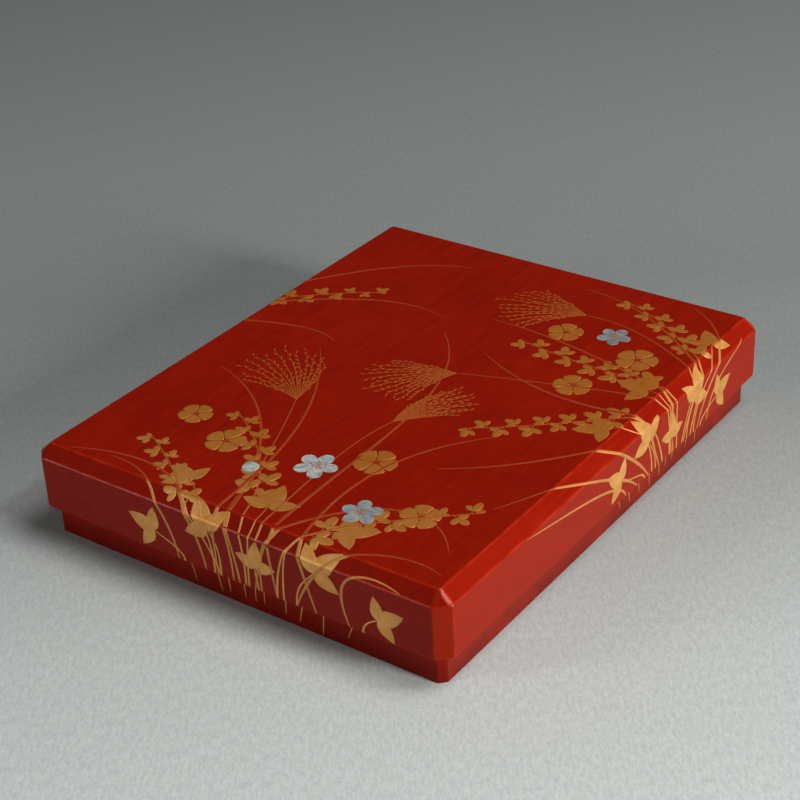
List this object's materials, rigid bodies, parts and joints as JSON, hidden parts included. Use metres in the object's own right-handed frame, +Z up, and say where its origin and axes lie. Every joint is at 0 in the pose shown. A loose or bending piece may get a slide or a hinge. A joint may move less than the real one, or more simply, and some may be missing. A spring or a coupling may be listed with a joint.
{
  "type": "writing box",
  "caption": "Flat lacquered writing box with a faceted drop-over lid, and fitted trays inside for an inkstone, a water dropper, brushes and an ink stick.",
  "frame": {"origin": "centre of the underside", "axes": "+X towards the right long side, +Y towards the back short side, +Z up through the lid"},
  "size_m": [0.198, 0.246, 0.0413],
  "materials": {
    "red_lacquer": "glossy red lacquer over a wooden core",
    "black_lacquer": "satin black lacquer over a wooden core",
    "pearl_shell": "polished mother-of-pearl",
    "ink_slate": "fine honed slate",
    "bronze": "brown patina, worn bright on the high points",
    "ink": "pressed soot and glue, satin",
    "bamboo": "polished bamboo",
    "horn": "polished dark horn",
    "brush_hair": "soft pale hair drawn to a point"
  },
  "bodies": {
    "base": {"base_floor_board": "black_lacquer", "base_back_wall": "red_lacquer", "base_front_wall": "red_lacquer", "base_right_wall": "red_lacquer", "base_left_wall": "red_lacquer"},
    "lid": {"lid_top_board": "red_lacquer", "lid_back_wall": "red_lacquer", "lid_front_wall": "red_lacquer", "lid_right_wall": "red_lacquer", "lid_left_wall": "red_lacquer", "pearl_blossom_1": "pearl_shell", "pearl_blossom_2": "pearl_shell", "pearl_blossom_3": "pearl_shell", "pearl_bud": "pearl_shell"},
    "left_tray": {"left_tray_floor": "black_lacquer", "left_tray_outer_side": "black_lacquer", "left_tray_inner_side": "black_lacquer", "left_tray_back_end": "black_lacquer", "left_tray_front_end": "black_lacquer"},
    "right_tray": {"right_tray_floor": "black_lacquer", "right_tray_outer_side": "black_lacquer", "right_tray_inner_side": "black_lacquer", "right_tray_back_end": "black_lacquer", "right_tray_front_end": "black_lacquer"},
    "inkstone_board": {"inkstone_board": "black_lacquer"},
    "inkstone": {"inkstone": "ink_slate"},
    "water_dropper": {"water_dropper": "bronze"},
    "ink_stick": {"ink_stick": "ink"},
    "large_brush": {"large_brush_shaft": "bamboo", "large_brush_collar": "horn", "large_brush_hair": "brush_hair", "large_brush_finial": "horn"},
    "small_brush": {"small_brush_shaft": "bamboo", "small_brush_collar": "horn", "small_brush_hair": "brush_hair", "small_brush_finial": "horn"}
  },
  "joints": [
    {"name": "lid_lift", "type": "slide", "parent": "base", "child": "lid", "axis": [0, 0, 1], "range_m": [0, 0.2]},
    {"name": "left_tray_lift", "type": "slide", "parent": "base", "child": "left_tray", "axis": [0, 0, 1], "range_m": [0, 0.05]},
    {"name": "right_tray_lift", "type": "slide", "parent": "base", "child": "right_tray", "axis": [0, 0, 1], "range_m": [0, 0.05]},
    {"name": "inkstone_board_lift", "type": "slide", "parent": "base", "child": "inkstone_board", "axis": [0, 0, 1], "range_m": [0, 0.05]},
    {"name": "inkstone_lift", "type": "slide", "parent": "base", "child": "inkstone", "axis": [0, 0, 1], "range_m": [0, 0.1]},
    {"name": "water_dropper_lift", "type": "slide", "parent": "base", "child": "water_dropper", "axis": [0, 0, 1], "range_m": [0, 0.1]},
    {"name": "ink_stick_lift", "type": "slide", "parent": "right_tray", "child": "ink_stick", "axis": [0, 0, 1], "range_m": [0, 0.05]},
    {"name": "large_brush_lift", "type": "slide", "parent": "left_tray", "child": "large_brush", "axis": [0, 0, 1], "range_m": [0, 0.05]},
    {"name": "small_brush_lift", "type": "slide", "parent": "left_tray", "child": "small_brush", "axis": [0, 0, 1], "range_m": [0, 0.05]}
  ],
  "couplings": [
    {"joint": "left_tray_lift", "follows": "lid_lift", "ratio": 0.25},
    {"joint": "right_tray_lift", "follows": "lid_lift", "ratio": 0.25},
    {"joint": "inkstone_board_lift", "follows": "lid_lift", "ratio": 0.25},
    {"joint": "inkstone_lift", "follows": "lid_lift", "ratio": 0.5},
    {"joint": "water_dropper_lift", "follows": "lid_lift", "ratio": 0.5},
    {"joint": "ink_stick_lift", "follows": "lid_lift", "ratio": 0.25},
    {"joint": "large_brush_lift", "follows": "lid_lift", "ratio": 0.25},
    {"joint": "small_brush_lift", "follows": "lid_lift", "ratio": 0.25}
  ]
}
